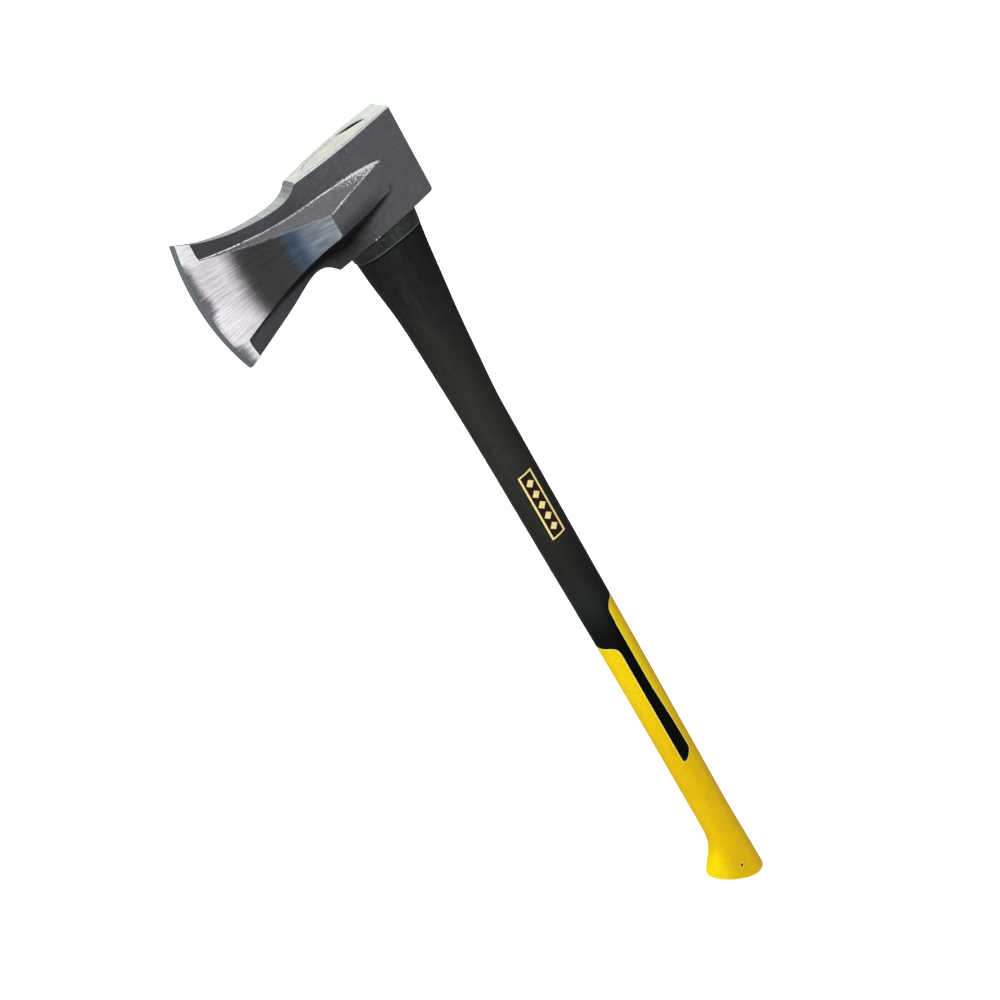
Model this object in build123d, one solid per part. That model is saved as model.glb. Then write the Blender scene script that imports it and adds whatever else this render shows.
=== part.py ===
from build123d import *
import math
import os

# Splitting axe with a wedge head and a moulded fibreglass handle. Millimetres.
# Z runs up the handle, X from the cutting edge (-X, the front) to the poll (+X, the rear), Y across
# the thickness. The handle's centre line is X = Y = 0 and the butt is near Z = 0. On export
# everything is shifted, so that the origin is the centre of the poll's flat face.

# ---- head ----
TOP_Z = 914.0  # flat top of the head
UNDER_Z = 838.4  # underside of the head, at the poll
UNDER_DROP = 1.9  # how much lower the underside is at the neck
POLL_X, POLL_HALF = 50.5, 11.9  # flat poll face and its half thickness
NECK_TOP = (-42.5, TOP_Z)  # where the flat top ends and the neck begins
NECK_LOW = (-45.8, UNDER_Z - UNDER_DROP)  # where the underside ends
EDGE_R = 207.0  # radius of the curved cutting edge, in side view
EDGE_X, EDGE_Z = 55.4, 878.15  # centre of that radius
EDGE_HALF = 0.15  # half width of the very edge
BEVEL = 3.5  # width of the fine edge bevel
TOP_CHAMFER = 0.9  # along the rims of the flat top
WING_Z = 877.3  # centre line of the splitting wings
PEAK_X, PEAK_HALF = -40.5, 30.0  # wing peak
REAR_SLOPE = 0.2922  # fall of the wing's rear face, per mm of X
WING_SINK, WING_RISE = 1.2, 3.0  # how far wing sections run into the cheek and past the ground face
MIN_WING_HEIGHT = 0.9  # least wing height used to work out the flank's slope
HEAD_CLEAR_Z, HEAD_CLEAR_HEIGHT = 780, 200  # bottom and height of extrusions that span the head

# Side outline of the blade behind the edge, (X, Z), from the neck forwards. Each ends in front of
# the edge's arc, which it crosses near its last point but one.
BLADE_TOP = [
    (-44.3, 912.6), (-47.0, 910.4), (-50.5, 908.6), (-55.0, 907.4), (-61.5, 906.9), (-69.5, 907.4),
    (-87.5, 910.4), (-99.0, 913.2), (-113.3, 918.2), (-131.2, 926.8), (-143.5, 935.0),
    (-153.0, 941.6),
]
BLADE_BOTTOM = [
    (-49.3, 840.9), (-53.4, 844.9), (-60.4, 847.6), (-70.4, 846.2), (-85.7, 840.3), (-102.3, 834.4),
    (-120.5, 828.4), (-133.5, 824.2), (-143.7, 821.3), (-153.0, 818.8),
]

# Corners rounded in side view: (X, Z) near the corner, radius.
HEAD_CORNERS = [
    ((POLL_X, UNDER_Z), 3.0), ((POLL_X, TOP_Z), 1.2), (BLADE_TOP[-2], 0.8),
    (BLADE_BOTTOM[-2], 2.2), (NECK_LOW, 1.2),
]

# Cheeks and eye walls in plan: X, half thickness.
CHEEK = [
    (-134.6, 1.7), (-120.0, 3.0), (-105.0, 4.1), (-90.0, 5.1), (-75.0, 6.0), (-60.0, 6.8),
    (-50.0, 7.2), (-42.5, 7.7), (-34.0, 8.8), (-25.0, 10.2), (-14.0, 11.6), (-2.0, 12.5),
    (8.0, 12.9), (20.0, 12.8), (34.0, 12.4), (POLL_X, POLL_HALF),
]

# Ground faces: distance from the edge's centre of curvature, half thickness.
GROUND = [
    (EDGE_R - BEVEL, 1.0), (192.0, 2.8), (184.0, 4.2), (175.4, 5.9), (165.4, 7.9), (155.4, 10.1),
    (145.4, 12.5), (135.4, 15.1), (125.4, 17.9), (115.4, 21.1), (105.4, 25.2), (95.9, 30.0),
    (88.0, 34.8),
]
# Straight continuation of the ground profile towards the centre, in the same columns.
GROUND_INNER = [(60, 52), (25, 60)]

# Border between the full-height ground band and the cheeks, (X, Z): lower cheek, upper cheek.
BAND_LOW = [
    (-132.9, 822.0), (-133.4, 831.0), (-133.7, 837.0), (-133.1, 841.2), (-130.8, 844.4),
    (-126.0, 848.0),
]
BAND_HIGH = [
    (-126.0, 905.0), (-131.0, 909.8), (-132.1, 913.4), (-132.3, 919.5), (-131.6, 929.0),
]

# Wings: X, half height of the ridge (at the ground face), half height of the foot (at the cheek).
WING = [
    (-144.0, 40.2, 41.0), (-137.0, 37.4, 38.2), (-130.0, 34.6, 35.5), (-120.0, 31.0, 32.3),
    (-110.0, 27.6, 29.3), (-100.0, 24.3, 26.7), (-90.0, 21.2, 24.2), (-80.0, 18.4, 22.0),
    (-70.0, 15.8, 20.2), (-60.0, 13.4, 18.8), (-50.0, 11.3, 17.8), (-40.5, 9.6, 17.2),
    (-30.0, 9.5, 16.8), (-15.0, 9.4, 15.7), (0.0, 9.2, 13.6), (12.0, 9.0, 11.1), (20.0, 8.8, 9.0),
]
# The same columns for the wing's lower half behind the peak, where its edge drops.
WING_REAR_LOW = [
    (-40.5, 9.6, 17.2), (-30.0, 10.6, 17.1), (-15.0, 12.7, 17.0), (0.0, 13.8, 16.6),
    (12.0, 14.4, 15.9), (20.0, 14.8, 15.2),
]

# ---- eye, rod and resin ----
EYE_X, EYE_HALF_X, EYE_HALF_Y = 1.9, 31.4, 9.4  # eye at the top
EYE_DRAFT = 0.6  # how much smaller each half axis is at the bottom
EYE_POWER = 2.15  # squareness of the oval
CORE_X, CORE_HALF_X, CORE_HALF_Y = 0.5, 13.0, 7.6  # fibreglass rod
CORE_POWER = 2.2
CORE_BOTTOM, CORE_TOP = 44.0, 913.2
RESIN_TOP = CORE_TOP  # slightly below the rim of the eye
GAP_DEPTH = 8.0  # crescent where the resin has drawn away from the eye's wall
GAP_EDGE = [(9.5, 10.4), (13.0, 7.6), (19.5, 3.9), (27.0, 1.3), (35.0, -1.4)]  # its edge, (X, Y)
GAP_OUTER = [(40, 14), (9.5, 14)]  # closes the crescent outside the eye, (X, Y)

# ---- handle ----
BUTT_ROUND = 4.5  # rounding of the butt's lower rim
BUTT_RIM_Z = 60  # the rim's edges lie wholly below this
KNOB_TOP = 94.0  # height where the butt's flare begins
SHAFT_SPLIT = 440.0  # joint between the lower and upper shaft
KNOB_STEP, SHAFT_STEP, COLLAR_STEP = 5, 24, 4.4  # spacing of the loft sections
GRIP_WALL = 2.2  # thickness of the soft grip over the jacket
JACKET_BOTTOM = 40.0
LINER_STRAIGHT = 110.0  # below this the jacket under the grip runs straight
LIP_FRONT_Z, LIP_REAR_Z = 827.0, 823.0  # lower lip of the collar
LIP_RUN = 66.0  # distance along X between those two heights
LIP_PROUD, LIP_ROUND = 0.4, 0.9
COLLAR_START = 812  # the collar is lofted from here, then cut along the lip
LABEL_THICK = 0.2
LABEL_X, LABEL_Z = (-10.2, 6.3), (511.0, 587.0)
HOLE_R, HOLE_DEPTH = 1.25, 5.0  # locating-pin hole that the grip's mould leaves in the butt
HOLE_X, HOLE_Z = -8.0, 31.0
HOLE_RUN_IN = 6  # length of the hole's cutter outside the butt
CLEAR = 60  # reach of handle cutters in X and Y, and below Z = 0
CUT_RADIUS = 150  # radius of the discs that cut along sloping planes

# Z, reach to the front (-X), reach to the rear (+X), half thickness, squareness of the oval.
HANDLE = [
    (-18.0, 38.5, 18.8, 13.8, 2.4), (-2.0, 39.2, 18.7, 13.8, 2.4), (18.0, 39.8, 18.5, 13.8, 2.4),
    (32.0, 39.9, 18.3, 13.8, 2.4), (40.0, 39.6, 18.2, 13.8, 2.4), (45.0, 38.4, 18.1, 13.8, 2.4),
    (50.0, 34.7, 18.0, 13.8, 2.4), (55.0, 29.9, 17.9, 13.8, 2.4), (60.5, 25.7, 17.8, 13.7, 2.4),
    (67.0, 22.3, 17.7, 13.6, 2.4), (75.0, 20.0, 17.6, 13.5, 2.35), (84.0, 18.9, 17.5, 13.5, 2.3),
    (100.0, 18.4, 17.3, 13.5, 2.3), (120.0, 18.3, 17.15, 13.5, 2.3),
    (150.0, 18.2, 17.2, 13.5, 2.3), (195.0, 17.9, 17.35, 13.5, 2.3),
    (240.0, 17.7, 17.4, 13.5, 2.3), (300.0, 17.55, 17.6, 13.5, 2.3),
    (360.0, 17.6, 17.65, 13.5, 2.3), (420.0, 18.05, 17.65, 13.5, 2.3),
    (480.0, 18.5, 17.6, 13.5, 2.3), (540.0, 18.8, 17.55, 13.5, 2.3),
    (600.0, 19.05, 17.5, 13.5, 2.3), (630.0, 19.4, 17.5, 13.4, 2.3),
    (650.0, 19.7, 17.6, 13.3, 2.3), (662.0, 19.95, 18.0, 13.2, 2.3),
    (675.0, 20.25, 18.7, 13.1, 2.3), (690.0, 20.6, 19.8, 13.0, 2.32),
    (705.0, 21.0, 20.8, 12.9, 2.35), (720.0, 21.4, 21.8, 12.8, 2.38),
    (735.0, 21.8, 22.9, 12.7, 2.4), (750.0, 22.3, 24.3, 12.6, 2.45),
    (765.0, 23.1, 25.8, 12.5, 2.5), (780.0, 24.6, 27.3, 12.4, 2.55),
    (795.0, 26.2, 28.8, 12.3, 2.6), (810.0, 27.7, 30.5, 12.2, 2.65),
    (825.0, 29.1, 32.2, 12.1, 2.7), (838.4, 31.0, 34.0, 12.0, 2.75),
    (850.0, 33.0, 35.4, 12.0, 2.8),
]

# Side outline of the butt's underside, (X, Z), from the front lip to the rear.
BUTT_UNDER = [
    (-46.0, 49.5), (-38.0, 38.6), (-26.0, 23.8), (-12.0, 10.2), (2.0, 0.6), (12.0, -2.4),
    (24.0, -3.6),
]

# Border between the black jacket and the yellow grip, (X, Z), in order from front to rear.
GRIP_FRONT = [
    (-30.0, 374.4), (-18.9, 374.0), (-14.6, 372.7), (-11.0, 370.2), (-8.5, 367.0), (-7.3, 363.0),
    (-6.9, 357.0),
]
WINDOW_TIP = [
    (-6.9, 206.0), (-6.5, 201.8), (-5.2, 199.4), (-3.2, 199.6), (1.0, 202.5), (4.6, 207.0),
    (6.0, 213.0),
]
GRIP_REAR = [
    (6.0, 213.0), (5.6, 235.0), (4.8, 262.0), (3.2, 300.0), (2.9, 345.0), (2.8, 392.0),
]
GRIP_REAR_TOP = [
    (2.8, 392.0), (3.5, 406.5), (5.2, 412.6), (9.5, 416.6), (15.2, 417.8), (30.0, 418.6),
]


# ---- drawing helpers ----
def side_spline(points):
    return Edge.make_spline([Vector(x, 0, z) for x, z in points])


def side_lines(*points):
    """Straight edges through (X, Z) points, as a list."""
    ends = [Vector(x, 0, z) for x, z in points]
    return [Edge.make_line(start, end) for start, end in zip(ends, ends[1:])]


def side_extrude(face, half):
    """Extrude a face drawn in the XZ plane over Y = -half to half."""
    return extrude(face.moved(Location((0, -half, 0))), amount=2 * half, dir=(0, 1, 0))


def head_extrude(face):
    """Extrude a face drawn in the XY plane over the whole height of the head."""
    return extrude(face.moved(Location((0, 0, HEAD_CLEAR_Z))), amount=HEAD_CLEAR_HEIGHT,
                   dir=(0, 0, 1))


def disc_below(origin, normal, depth):
    """A wide disc that fills the space below a sloping plane."""
    return Solid.make_cylinder(CUT_RADIUS, depth, Plane(origin=origin - normal * depth, z_dir=normal))


def oval_wire(z, front, rear, half, power, centre_x=0.0, count=36):
    """A level superellipse whose front and rear reaches may differ."""
    points = []
    for i in range(count):
        angle = 2 * math.pi * i / count
        cosine, sine = math.cos(angle), math.sin(angle)
        scale = (abs(cosine) ** power + abs(sine) ** power) ** (-1 / power)
        reach = rear if cosine > 0 else front
        points.append(Vector(centre_x + reach * cosine * scale, half * sine * scale, z))
    return Wire([Edge.make_spline(points, periodic=True)])


def interpolate(table, x, column=1):
    """Straight-line value of a column, for a table whose first column rises."""
    for low, high in zip(table, table[1:]):
        if low[0] <= x <= high[0]:
            rise = high[column] - low[column]
            return low[column] + rise * (x - low[0]) / (high[0] - low[0])
    raise ValueError(x)


def handle_row(z):
    """HANDLE's row at a height, by a monotone cubic in each column, so that nothing overshoots."""
    i = max(k for k in range(len(HANDLE) - 1) if HANDLE[k][0] <= z)

    def slope(k, column):
        if k == 0 or k == len(HANDLE) - 1:
            return 0.0
        before, here, after = HANDLE[k - 1], HANDLE[k], HANDLE[k + 1]
        step0, step1 = here[0] - before[0], after[0] - here[0]
        slope0 = (here[column] - before[column]) / step0
        slope1 = (after[column] - here[column]) / step1
        if slope0 * slope1 <= 0:
            return 0.0
        weight0, weight1 = 2 * step1 + step0, step1 + 2 * step0
        return (weight0 + weight1) / (weight0 / slope0 + weight1 / slope1)

    step = HANDLE[i + 1][0] - HANDLE[i][0]
    t = (z - HANDLE[i][0]) / step
    return [
        HANDLE[i][column] * (2 * t**3 - 3 * t**2 + 1)
        + slope(i, column) * step * (t**3 - 2 * t**2 + t)
        + HANDLE[i + 1][column] * (3 * t**2 - 2 * t**3)
        + slope(i + 1, column) * step * (t**3 - t**2)
        for column in range(1, len(HANDLE[0]))
    ]


def handle_body(low, high, step=SHAFT_STEP, grow=0.0, straight_below=HANDLE[0][0]):
    """The handle's outer form between two heights, grown or shrunk by grow."""
    count = max(2, math.ceil((high - low) / step))
    wires = []
    for k in range(count + 1):
        z = low + (high - low) * k / count
        front, rear, half, power = handle_row(max(z, straight_below))
        wires.append(oval_wire(z, front + grow, rear + grow, half + grow, power))
    return Solid.make_loft(wires)


# ---- head ----
def make_silhouette():
    """Side outline of the head, extruded across its thickness."""
    outline = make_face([
        *side_lines((POLL_X, UNDER_Z), (POLL_X, TOP_Z), NECK_TOP),
        side_spline([NECK_TOP] + BLADE_TOP),
        *side_lines(BLADE_TOP[-1], BLADE_BOTTOM[-1]),
        side_spline([NECK_LOW] + BLADE_BOTTOM),
        *side_lines(NECK_LOW, (POLL_X, UNDER_Z)),
    ])
    edge_plane = Plane(origin=(EDGE_X, 0, EDGE_Z), x_dir=(1, 0, 0), z_dir=(0, -1, 0))
    outline = (outline & make_face([Edge.make_circle(EDGE_R, edge_plane)])).face()
    for (x, z), radius in HEAD_CORNERS:
        vertex = min(outline.vertices(), key=lambda v: math.hypot(v.X - x, v.Z - z))
        outline = outline.fillet_2d(radius, [vertex])
    return side_extrude(outline, 45)


def make_wedge():
    """Ground wedge: a revolution about the centre of the edge's curvature, mirrored in Y."""
    def at(radius, half):
        return Vector(EDGE_X - radius, half, EDGE_Z)

    corners = [at(*GROUND[-1]), *(at(*point) for point in GROUND_INNER),
               at(GROUND_INNER[-1][0], 0.0), at(EDGE_R, 0.0), at(EDGE_R, EDGE_HALF)]
    profile = make_face([
        Edge.make_line(at(EDGE_R, EDGE_HALF), at(*GROUND[0])),
        Edge.make_spline([at(*point) for point in GROUND]),
        *(Edge.make_line(start, end) for start, end in zip(corners, corners[1:])),
    ])
    wedge_half = revolve(profile, Axis((EDGE_X, 0, EDGE_Z), (0, 1, 0)), 360)
    return wedge_half + wedge_half.mirror(Plane.XZ)


def make_edge_band(wedge):
    """Full-height part of the wedge along the cutting edge."""
    front, bottom, top = -175, 760, 1000
    region = make_face([
        *side_lines((front, top), (front, bottom), (BAND_LOW[0][0], bottom), BAND_LOW[0]),
        side_spline(BAND_LOW),
        *side_lines(BAND_LOW[-1], BAND_HIGH[0]),
        side_spline(BAND_HIGH),
        *side_lines(BAND_HIGH[-1], (BAND_HIGH[-1][0], top), (front, top)),
    ])
    return wedge & side_extrude(region, 50)


def wing_rear_half(x):
    return PEAK_HALF - REAR_SLOPE * (x - PEAK_X)


def wing_section(x):
    """Section on which the wing's flanks lie, past the ground face and into the cheek."""
    behind = x > PEAK_X
    outer = wing_rear_half(x) if behind else interpolate(sorted(GROUND), EDGE_X - x)
    cheek = interpolate(CHEEK, max(x, CHEEK[0][0]))
    y_in, y_out = cheek - WING_SINK, outer + WING_RISE
    ends = []
    for table in (WING, WING_REAR_LOW if behind else WING):
        ridge, foot = interpolate(table, x), interpolate(table, x, column=2)
        slope = (foot - ridge) / max(outer - cheek, MIN_WING_HEIGHT)
        ends.append((foot + slope * WING_SINK, ridge - slope * WING_RISE))
    (top_in, top_out), (low_in, low_out) = ends
    points = [(-y_out, top_out), (-y_in, top_in), (y_in, top_in), (y_out, top_out),
              (y_out, -low_out), (y_in, -low_in), (-y_in, -low_in), (-y_out, -low_out)]
    return Wire.make_polygon([Vector(x, y, WING_Z + z) for y, z in points], close=True)


def make_wings(wedge):
    """Splitting wings, bounded by the ground faces and by the sloping faces behind the peak."""
    body = Solid.make_loft([wing_section(row[0]) for row in WING])
    front, rear = -160, 30
    corners = [(front, -1), (rear, -1), (rear, 1), (front, 1)]  # X, side
    rear_faces = make_face(Wire.make_polygon(
        [Vector(x, side * wing_rear_half(x), 0) for x, side in corners], close=True))
    return body & wedge & head_extrude(rear_faces)


def make_cheeks():
    points = [Vector(x, half, 0) for x, half in CHEEK]
    return head_extrude(make_face([
        Edge.make_spline(points),
        Edge.make_line(points[-1], Vector(POLL_X, -POLL_HALF, 0)),
        Edge.make_spline([Vector(p.X, -p.Y, 0) for p in points]),
        Edge.make_line(points[0], Vector(points[0].X, -points[0].Y, 0)),
    ]))


def make_eye():
    """Tapered oval that fills the eye and runs past both ends of it."""
    bottom_x, bottom_y = EYE_HALF_X - EYE_DRAFT, EYE_HALF_Y - EYE_DRAFT
    return Solid.make_loft([
        oval_wire(UNDER_Z - 6, bottom_x, bottom_x, bottom_y, EYE_POWER, EYE_X),
        oval_wire(TOP_Z + 1, EYE_HALF_X, EYE_HALF_X, EYE_HALF_Y, EYE_POWER, EYE_X),
    ])


def make_head(eye):
    wedge = make_wedge()
    blank = make_cheeks() + make_wings(wedge) + make_edge_band(wedge)
    blank = (blank & make_silhouette()).solid()
    # The two long rims of the flat top.
    rims = [e for e in blank.edges() if abs(e.bounding_box().min.Z - TOP_Z) < 0.01
            and abs(e.center().Y) > 4 and e.length > 40]
    return (blank.chamfer(TOP_CHAMFER, None, rims) - eye).solid()


# ---- handle ----
def make_core():
    return Solid.make_loft([
        oval_wire(z, CORE_HALF_X, CORE_HALF_X, CORE_HALF_Y, CORE_POWER, CORE_X)
        for z in (CORE_BOTTOM, CORE_TOP)
    ])


def make_knob():
    """Flared butt with its sloping underside and rounded rim."""
    under = make_face([
        side_spline(BUTT_UNDER),
        *side_lines(BUTT_UNDER[-1], (CLEAR, -CLEAR), (-CLEAR, -CLEAR), BUTT_UNDER[0]),
    ])
    knob = (handle_body(HANDLE[0][0], KNOB_TOP, KNOB_STEP) - side_extrude(under, CLEAR)).solid()
    rim_edges = [e for e in knob.edges() if e.bounding_box().max.Z < BUTT_RIM_Z]
    return knob.fillet(BUTT_ROUND, rim_edges)


def make_grip_region():
    """Everything on the grip's side of its border, the same on both sides of the handle."""
    front_z, rear_z = GRIP_FRONT[0][1], GRIP_REAR_TOP[-1][1]
    region = make_face([
        side_spline(GRIP_FRONT),
        *side_lines(GRIP_FRONT[-1], WINDOW_TIP[0]),
        side_spline(WINDOW_TIP),
        side_spline(GRIP_REAR),
        side_spline(GRIP_REAR_TOP),
        *side_lines(GRIP_REAR_TOP[-1], (CLEAR, rear_z), (CLEAR, -CLEAR), (-CLEAR, -CLEAR),
                    (-CLEAR, front_z), GRIP_FRONT[0]),
    ])
    return side_extrude(region, CLEAR)


def make_grip(shaft_low, grip_region, liner):
    """Soft grip and butt, with the pin hole in the -Y side."""
    knob = make_knob()
    grip = ((shaft_low & grip_region) + knob) - liner
    hole_start = (HOLE_X, knob.bounding_box().min.Y - HOLE_RUN_IN, HOLE_Z)
    hole = Solid.make_cylinder(
        HOLE_R, HOLE_DEPTH + HOLE_RUN_IN, Plane(origin=hole_start, z_dir=(0, 1, 0)))
    return (grip - hole).solid()


def make_jacket(shaft_low, shaft_high, grip_region, liner, core):
    """Jacket over the rod, up to the collar's lip."""
    lower = ((shaft_low - grip_region) + liner) - core
    upper = (shaft_high & disc_below(LIP_ORIGIN, LIP_NORMAL, 500)) - core
    return (lower + upper).solid()


def make_collar(below_head, core):
    """Slightly proud collar between the sloping lip and the underside of the head."""
    above_lip = Solid.make_cylinder(CUT_RADIUS, 60, Plane(origin=LIP_ORIGIN, z_dir=LIP_NORMAL))
    collar = handle_body(COLLAR_START, UNDER_Z, COLLAR_STEP, grow=LIP_PROUD) & above_lip
    lip_edges = [e for e in collar.edges() if e.center().Z < UNDER_Z - 4 and e.length > 60]
    collar = collar.solid().fillet(LIP_ROUND, lip_edges)
    return ((collar & below_head) - core).solid()


def make_resin(eye, below_head, core):
    """Resin between the rod and the eye, with the crescent gap at the rear."""
    bottom = UNDER_Z - 5
    slab = Solid.make_box(120, 60, RESIN_TOP - bottom).moved(Location((-60, -30, bottom)))
    corners = [Vector(x, y, 0) for x, y in (GAP_EDGE[-1], *GAP_OUTER, GAP_EDGE[0])]
    gap_face = make_face([
        Edge.make_spline([Vector(x, y, 0) for x, y in GAP_EDGE]),
        *(Edge.make_line(start, end) for start, end in zip(corners, corners[1:])),
    ])
    gap = extrude(gap_face.moved(Location((0, 0, RESIN_TOP - GAP_DEPTH))),
                  amount=GAP_DEPTH + 5, dir=(0, 0, 1))
    return (((eye & slab) - below_head) - core - gap).solid()


def make_label(shaft_high):
    """Thin label on the -Y side of the upper shaft."""
    (x0, x1), (z0, z1) = LABEL_X, LABEL_Z
    box = Solid.make_box(x1 - x0, 30, z1 - z0).moved(Location((x0, -30, z0)))
    skin = handle_body(SHAFT_SPLIT, UNDER_Z, grow=LABEL_THICK)
    return ((skin & box) - shaft_high).solid()


# ---- sloping planes: the collar's lip and the head's underside ----
LIP_ORIGIN = Vector(0, 0, (LIP_FRONT_Z + LIP_REAR_Z) / 2)
LIP_NORMAL = Vector((LIP_FRONT_Z - LIP_REAR_Z) / LIP_RUN, 0, 1).normalized()
UNDER_SLOPE = UNDER_DROP / (POLL_X - NECK_LOW[0])
UNDER_ORIGIN = Vector(0, 0, UNDER_Z - UNDER_SLOPE * POLL_X)
UNDER_NORMAL = Vector(-UNDER_SLOPE, 0, 1).normalized()

# ---- bodies that several pieces share ----
eye = make_eye()
core = make_core()
shaft_low = handle_body(KNOB_TOP, SHAFT_SPLIT)
shaft_high = handle_body(SHAFT_SPLIT, UNDER_Z)
liner = handle_body(JACKET_BOTTOM, SHAFT_SPLIT, grow=-GRIP_WALL, straight_below=LINER_STRAIGHT)
grip_region = make_grip_region()
below_head = disc_below(UNDER_ORIGIN, UNDER_NORMAL, 80)

pieces = {
    "axe_head": make_head(eye),
    "fibreglass_core": core,
    "handle_jacket": make_jacket(shaft_low, shaft_high, grip_region, liner, core),
    "grip_overmould": make_grip(shaft_low, grip_region, liner),
    "eye_resin": make_resin(eye, below_head, core),
    "eye_collar": make_collar(below_head, core),
    "handle_label": make_label(shaft_high),
}

# ---- export, with the origin at the centre of the poll's face ----
os.makedirs("parts", exist_ok=True)
shift = Location((-POLL_X, 0, -(TOP_Z + UNDER_Z) / 2))
for name, piece in pieces.items():
    moved = piece.moved(shift)
    moved.label = name
    export_step(moved, f"parts/{name}.step")
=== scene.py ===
import math

import bmesh
import bpy
import numpy as np
from mathutils import Matrix, Vector
from mathutils.kdtree import KDTree


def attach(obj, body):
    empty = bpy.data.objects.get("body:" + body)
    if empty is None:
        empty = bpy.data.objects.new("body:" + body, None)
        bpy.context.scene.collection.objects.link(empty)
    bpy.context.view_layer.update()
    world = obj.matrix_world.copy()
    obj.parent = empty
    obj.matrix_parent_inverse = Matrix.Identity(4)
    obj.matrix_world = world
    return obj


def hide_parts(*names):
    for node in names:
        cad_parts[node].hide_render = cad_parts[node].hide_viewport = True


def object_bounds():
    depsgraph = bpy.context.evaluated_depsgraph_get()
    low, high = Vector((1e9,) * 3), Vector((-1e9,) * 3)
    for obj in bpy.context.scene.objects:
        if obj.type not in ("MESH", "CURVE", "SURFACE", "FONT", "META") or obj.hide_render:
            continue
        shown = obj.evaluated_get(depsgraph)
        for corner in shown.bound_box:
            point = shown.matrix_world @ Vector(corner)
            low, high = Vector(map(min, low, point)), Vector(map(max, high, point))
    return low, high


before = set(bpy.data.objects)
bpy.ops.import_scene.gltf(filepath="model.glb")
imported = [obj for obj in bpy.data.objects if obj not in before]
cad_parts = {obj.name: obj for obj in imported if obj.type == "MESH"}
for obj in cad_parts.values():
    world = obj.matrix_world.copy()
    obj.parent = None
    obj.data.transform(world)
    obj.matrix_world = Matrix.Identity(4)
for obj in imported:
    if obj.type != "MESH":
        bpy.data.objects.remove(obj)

cad_low, cad_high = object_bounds()

# Drawing space is the CAD source's: millimetres, X from the edge to the poll, Z up the handle, Y across.
SHIFT_X, SHIFT_Z = 50.5, 876.2
EDGE_R, EDGE_C = 207.0, (55.4, 878.15)
BEVEL = 3.5
WING_Z = 877.3
PEAK_X, PEAK_HALF, REAR_SLOPE = -40.5, 30.0, 0.2922
TOP_Z, UNDER_Z, POLL_X, NECK_X = 914.0, 838.4, 50.5, -42.5
CHEEK = [
    (-134.6, 1.7), (-120.0, 3.0), (-105.0, 4.1), (-90.0, 5.1), (-75.0, 6.0), (-60.0, 6.8), (-50.0, 7.2),
    (-42.5, 7.7), (-34.0, 8.8), (-25.0, 10.2), (-14.0, 11.6), (-2.0, 12.5), (8.0, 12.9), (20.0, 12.8),
    (34.0, 12.4), (50.5, 11.9),
]
GROUND = [
    (60.0, 52.0), (88.0, 34.8), (95.9, 30.0), (105.4, 25.2), (115.4, 21.1), (125.4, 17.9), (135.4, 15.1), (145.4, 12.5),
    (155.4, 10.1), (165.4, 7.9), (175.4, 5.9), (184.0, 4.2), (192.0, 2.8), (203.5, 1.0), (207.0, 0.15),
]
RIDGE = [
    (-144.0, 40.2), (-137.0, 37.4), (-130.0, 34.6), (-120.0, 31.0), (-110.0, 27.6), (-100.0, 24.3), (-90.0, 21.2),
    (-80.0, 18.4), (-70.0, 15.8), (-60.0, 13.4), (-50.0, 11.3), (-40.5, 9.6), (-30.0, 9.5), (-15.0, 9.4), (0.0, 9.2),
    (12.0, 9.0), (20.0, 8.8),
]
# Height down to which the wing hides or shades the cheek below it, along X.
HOLLOW = [
    (-144.0, 835.5), (-118.8, 844.0), (-97.6, 848.5), (-76.0, 851.5), (-53.9, 852.7), (-42.0, 850.8), (-30.9, 849.8),
    (-21.0, 853.5), (-9.4, 855.6), (4.0, 859.4), (12.0, 861.2), (18.4, 862.6), (30.0, 863.5),
]
FOOT = [
    (-144.0, 41.0), (-137.0, 38.2), (-130.0, 35.5), (-120.0, 32.3), (-110.0, 29.3), (-100.0, 26.7), (-90.0, 24.2),
    (-80.0, 22.0), (-70.0, 20.2), (-60.0, 18.8), (-50.0, 17.8), (-40.5, 17.2), (-30.0, 16.8), (-15.0, 15.7),
    (0.0, 13.6), (12.0, 11.1), (20.0, 9.0),
]
FOOT_LOW = [(-50.0, 17.8), (-40.5, 17.2), (-30.0, 17.1), (-15.0, 17.0), (0.0, 16.6), (12.0, 15.9), (20.0, 15.2)]


def at(table, x):
    xs, ys = zip(*table)
    return float(np.interp(x, xs, ys))


def lin(r, g, b):
    """A linear colour from 0-255 display values."""
    return tuple(v / 255 / 12.92 if v <= 10.3 else ((v / 255 + 0.055) / 1.055) ** 2.4 for v in (r, g, b)) + (1.0,)


# ------------------------------------------------------------------ shader graph helpers
class S:
    """A socket that takes part in plain arithmetic."""

    def __init__(self, g, s):
        self.g, self.s = g, s

    def __add__(self, o): return self.g.math("ADD", self, o)
    def __radd__(self, o): return self.g.math("ADD", o, self)
    def __sub__(self, o): return self.g.math("SUBTRACT", self, o)
    def __rsub__(self, o): return self.g.math("SUBTRACT", o, self)
    def __mul__(self, o): return self.g.math("MULTIPLY", self, o)
    def __rmul__(self, o): return self.g.math("MULTIPLY", o, self)
    def __truediv__(self, o): return self.g.math("DIVIDE", self, o)
    def __neg__(self): return self.g.math("MULTIPLY", self, -1.0)


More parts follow.
